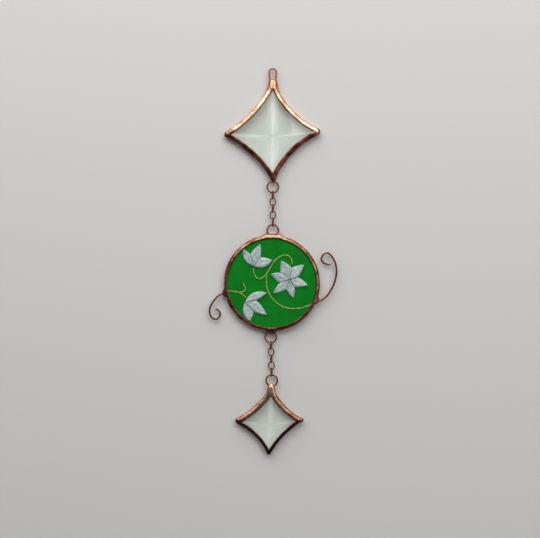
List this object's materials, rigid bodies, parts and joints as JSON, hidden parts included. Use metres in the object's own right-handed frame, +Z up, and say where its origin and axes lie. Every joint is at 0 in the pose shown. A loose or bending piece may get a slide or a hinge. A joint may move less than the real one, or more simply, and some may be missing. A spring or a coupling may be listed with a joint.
{
  "type": "suncatcher",
  "caption": "Hanging suncatcher: a clear bevelled star, a round green glass panel with pale flowers and curled wires, and a small star, joined by chains.",
  "frame": {"origin": "inner top of the hanging loop, where a hook or cord carries the weight", "axes": "+Z up, the front faces -Y, +X to the viewer's right"},
  "size_m": [0.0772, 0.006, 0.2321],
  "materials": {
    "copper_solder": "copper-plated solder, rippled and patinated",
    "copper_wire": "dark copper wire, satin",
    "clear_glass": "clear bevelled glass, polished",
    "green_glass": "deep green glass that looks opaque, smooth",
    "pale_petals": "pale blue-grey glass relief, satin, with fine veins",
    "vine_green": "yellow-green raised line, satin"
  },
  "bodies": {
    "root": {"hanging_loop": "copper_wire", "top_star_frame": "copper_solder", "top_star_glass": "clear_glass", "top_star_ring": "copper_wire", "upper_chain_link_1": "copper_wire", "upper_chain_link_2": "copper_wire", "upper_chain_link_3": "copper_wire", "upper_chain_link_4": "copper_wire", "upper_chain_link_5": "copper_wire", "disc_top_ring": "copper_wire", "disc_frame": "copper_solder", "green_disc_glass": "green_glass", "right_curl": "copper_wire", "left_curl": "copper_wire", "flower_petal_1": "pale_petals", "flower_petal_2": "pale_petals", "flower_petal_3": "pale_petals", "flower_petal_4": "pale_petals", "flower_petal_5": "pale_petals", "flower_petal_6": "pale_petals", "upper_bloom_petal_1": "pale_petals", "upper_bloom_petal_2": "pale_petals", "upper_bloom_petal_3": "pale_petals", "lower_bloom_petal_1": "pale_petals", "lower_bloom_petal_2": "pale_petals", "lower_bloom_petal_3": "pale_petals", "vine_top": "vine_green", "vine_low": "vine_green", "vine_left": "vine_green", "tendril": "vine_green", "disc_bottom_ring": "copper_wire", "lower_chain_link_1": "copper_wire", "lower_chain_link_2": "copper_wire", "lower_chain_link_3": "copper_wire", "lower_chain_link_4": "copper_wire", "lower_chain_link_5": "copper_wire", "small_star_ring": "copper_wire", "small_star_frame": "copper_solder", "small_star_glass": "clear_glass"}
  },
  "joints": []
}
